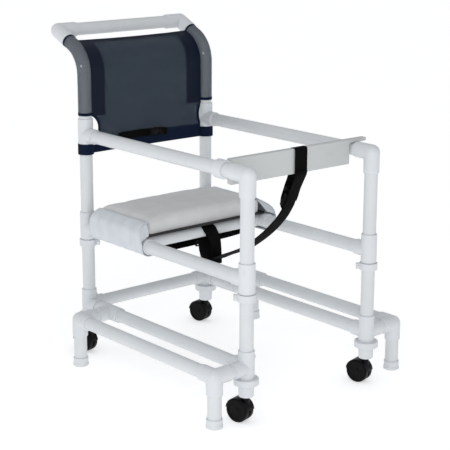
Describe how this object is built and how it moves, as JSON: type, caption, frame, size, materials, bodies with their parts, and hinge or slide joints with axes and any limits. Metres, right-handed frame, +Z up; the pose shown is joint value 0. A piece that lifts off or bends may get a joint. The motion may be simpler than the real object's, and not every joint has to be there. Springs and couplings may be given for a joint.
{
  "type": "walker chair",
  "caption": "Plastic pipe walker chair with a sliding padded seat, mesh back sling, outriggers, swing-over front gate, crotch strap and swivel casters.",
  "frame": {"origin": "on the floor under the middle of the chair", "axes": "+Z up, the user faces -Y, the user's left is +X; the longest side is along Z and the shortest along X"},
  "size_m": [0.8076, 1.0049, 1.1034],
  "materials": {
    "pipe": "satin white pipe",
    "fitting": "moulded white fittings, satin",
    "vinyl": "light grey coated vinyl, fine grain",
    "board": "black seat board, matt",
    "gate": "light grey plastic board, matt",
    "mesh": "open woven coated mesh, slate blue",
    "webbing": "black woven webbing",
    "buckle": "black moulded buckle",
    "hood": "black moulded caster hood",
    "wheel": "black wheel, satin",
    "steel": "zinc plated steel"
  },
  "bodies": {
    "frame": {"arm_rails": "pipe", "back_post_left": "pipe", "back_post_right": "pipe", "back_sling": "mesh", "base_rails": "pipe", "caster_flanges": "fitting", "caster_sleeves": "fitting", "foot_caps": "fitting", "frame_screws": "steel", "front_arm_elbows": "fitting", "front_base_fittings": "fitting", "front_posts": "pipe", "outrigger_corners": "fitting", "outrigger_legs": "pipe", "outrigger_rails": "pipe", "outrigger_stubs": "pipe", "outrigger_tees": "fitting", "push_bar": "pipe", "push_bar_elbows": "fitting", "rear_arm_tees": "fitting", "rear_base_fittings": "fitting", "rear_cross_tube": "pipe", "rear_posts": "pipe", "sling_post_bands": "mesh", "sling_sleeves": "mesh", "waist_belt": "webbing", "waist_belt_buckle": "buckle"},
    "seat": {"seat_post_tees": "fitting", "clamp_collars": "fitting", "collar_screws": "steel", "seat_rails": "pipe", "seat_bar_tees": "fitting", "seat_cross_bars": "pipe", "seat_board": "board", "seat_cushion": "vinyl", "seat_flaps": "vinyl", "flap_tie_strap": "webbing", "bar_strap": "webbing", "crotch_strap": "webbing"},
    "gate": {"gate_board": "gate", "gate_sleeve": "fitting", "gate_strap": "webbing", "crotch_buckle": "buckle"},
    "caster_rear_right": {"caster_rear_right_hood": "hood", "caster_rear_right_pins": "steel"},
    "wheel_rear_right_right": {"caster_rear_right_wheel_right": "wheel"},
    "wheel_rear_right_left": {"caster_rear_right_wheel_left": "wheel"},
    "caster_rear_left": {"caster_rear_left_hood": "hood", "caster_rear_left_pins": "steel"},
    "wheel_rear_left_right": {"caster_rear_left_wheel_right": "wheel"},
    "wheel_rear_left_left": {"caster_rear_left_wheel_left": "wheel"},
    "caster_front_right": {"caster_front_right_hood": "hood", "caster_front_right_pins": "steel"},
    "wheel_front_right_right": {"caster_front_right_wheel_right": "wheel"},
    "wheel_front_right_left": {"caster_front_right_wheel_left": "wheel"},
    "caster_front_left": {"caster_front_left_hood": "hood", "caster_front_left_pins": "steel"},
    "wheel_front_left_right": {"caster_front_left_wheel_right": "wheel"},
    "wheel_front_left_left": {"caster_front_left_wheel_left": "wheel"}
  },
  "joints": [
    {"name": "seat_height", "type": "slide", "parent": "frame", "child": "seat", "axis": [0, 0, 1], "range_m": [-0.1, 0.05]},
    {"name": "gate_swing", "type": "hinge", "parent": "frame", "child": "gate", "pos_m": [-0.255, -0.3525, 0.7515], "axis": [0, -1, 0], "range_deg": [0, 250]},
    {"name": "caster_rear_right_swivel", "type": "hinge", "parent": "frame", "child": "caster_rear_right", "pos_m": [-0.255, 0.3355, 0.1], "axis": [0, 0, 1], "continuous": true},
    {"name": "wheel_rear_right_right_roll", "type": "hinge", "parent": "caster_rear_right", "child": "wheel_rear_right_right", "pos_m": [-0.26032, 0.35685, 0.0365], "axis": [0.9703, 0.2419, 0], "continuous": true},
    {"name": "wheel_rear_right_left_roll", "type": "hinge", "parent": "caster_rear_right", "child": "wheel_rear_right_left", "pos_m": [-0.26032, 0.35685, 0.0365], "axis": [0.9703, 0.2419, 0], "continuous": true},
    {"name": "caster_rear_left_swivel", "type": "hinge", "parent": "frame", "child": "caster_rear_left", "pos_m": [0.255, 0.3355, 0.1], "axis": [0, 0, 1], "continuous": true},
    {"name": "wheel_rear_left_right_roll", "type": "hinge", "parent": "caster_rear_left", "child": "wheel_rear_left_right", "pos_m": [0.24968, 0.35685, 0.0365], "axis": [0.9703, 0.2419, 0], "continuous": true},
    {"name": "wheel_rear_left_left_roll", "type": "hinge", "parent": "caster_rear_left", "child": "wheel_rear_left_left", "pos_m": [0.24968, 0.35685, 0.0365], "axis": [0.9703, 0.2419, 0], "continuous": true},
    {"name": "caster_front_right_swivel", "type": "hinge", "parent": "frame", "child": "caster_front_right", "pos_m": [-0.255, -0.4645, 0.1], "axis": [0, 0, 1], "continuous": true},
    {"name": "wheel_front_right_right_roll", "type": "hinge", "parent": "caster_front_right", "child": "wheel_front_right_right", "pos_m": [-0.26032, -0.44315, 0.0365], "axis": [0.9703, 0.2419, 0], "continuous": true},
    {"name": "wheel_front_right_left_roll", "type": "hinge", "parent": "caster_front_right", "child": "wheel_front_right_left", "pos_m": [-0.26032, -0.44315, 0.0365], "axis": [0.9703, 0.2419, 0], "continuous": true},
    {"name": "caster_front_left_swivel", "type": "hinge", "parent": "frame", "child": "caster_front_left", "pos_m": [0.255, -0.4645, 0.1], "axis": [0, 0, 1], "continuous": true},
    {"name": "wheel_front_left_right_roll", "type": "hinge", "parent": "caster_front_left", "child": "wheel_front_left_right", "pos_m": [0.24968, -0.44315, 0.0365], "axis": [0.9703, 0.2419, 0], "continuous": true},
    {"name": "wheel_front_left_left_roll", "type": "hinge", "parent": "caster_front_left", "child": "wheel_front_left_left", "pos_m": [0.24968, -0.44315, 0.0365], "axis": [0.9703, 0.2419, 0], "continuous": true}
  ]
}
